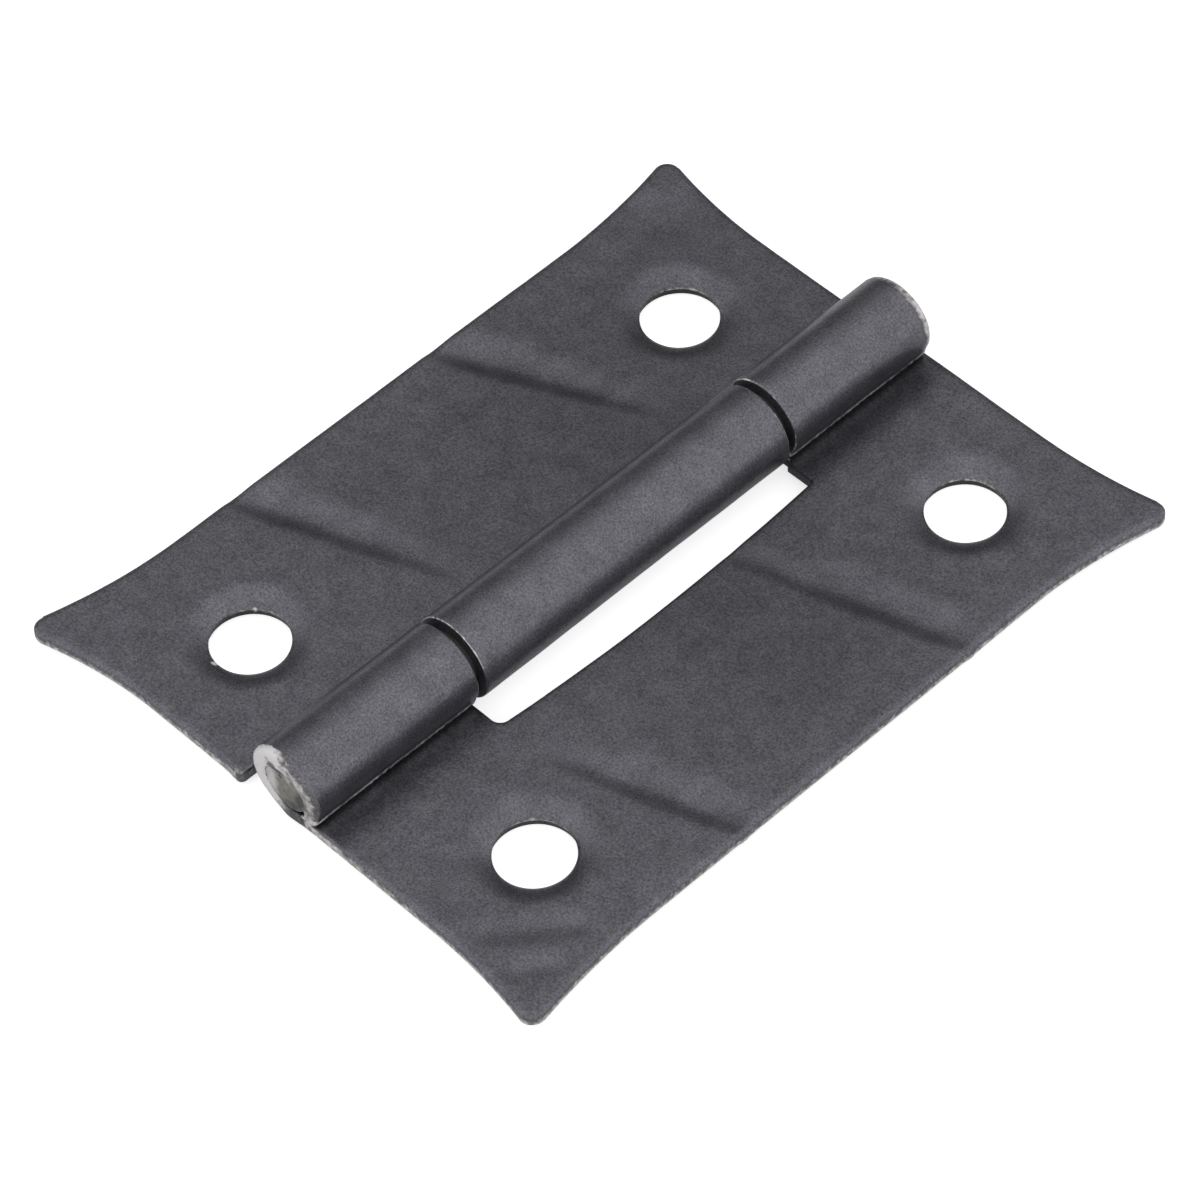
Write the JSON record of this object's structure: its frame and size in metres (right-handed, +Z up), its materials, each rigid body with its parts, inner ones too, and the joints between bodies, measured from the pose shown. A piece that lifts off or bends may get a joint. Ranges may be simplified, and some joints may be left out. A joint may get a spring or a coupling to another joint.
{
  "type": "butt hinge",
  "caption": "Small pressed-sheet butt hinge: flared leaves with dimpled screw holes, rolled knuckles and a plain pin, lying open and flat.",
  "frame": {"origin": "under the middle of the pin, on the surface that the open hinge lies on", "axes": "+Y along the pin, +X towards the leaf with the outer knuckles, +Z up, on the side where the barrel stands proud"},
  "size_m": [0.0308, 0.0384, 0.0045],
  "materials": {
    "leaf_coating": "satin grey-black coating",
    "pin_steel": "plain drawn steel, partly coated"
  },
  "bodies": {
    "outer_leaf": {"leaf_outer_knuckles": "leaf_coating", "hinge_pin": "pin_steel"},
    "middle_leaf": {"leaf_middle_knuckle": "leaf_coating"}
  },
  "joints": [
    {"name": "leaf_fold", "type": "hinge", "parent": "outer_leaf", "child": "middle_leaf", "pos_m": [0, 0, 0.00241], "axis": [0, 1, 0], "range_deg": [-105, 188]}
  ]
}
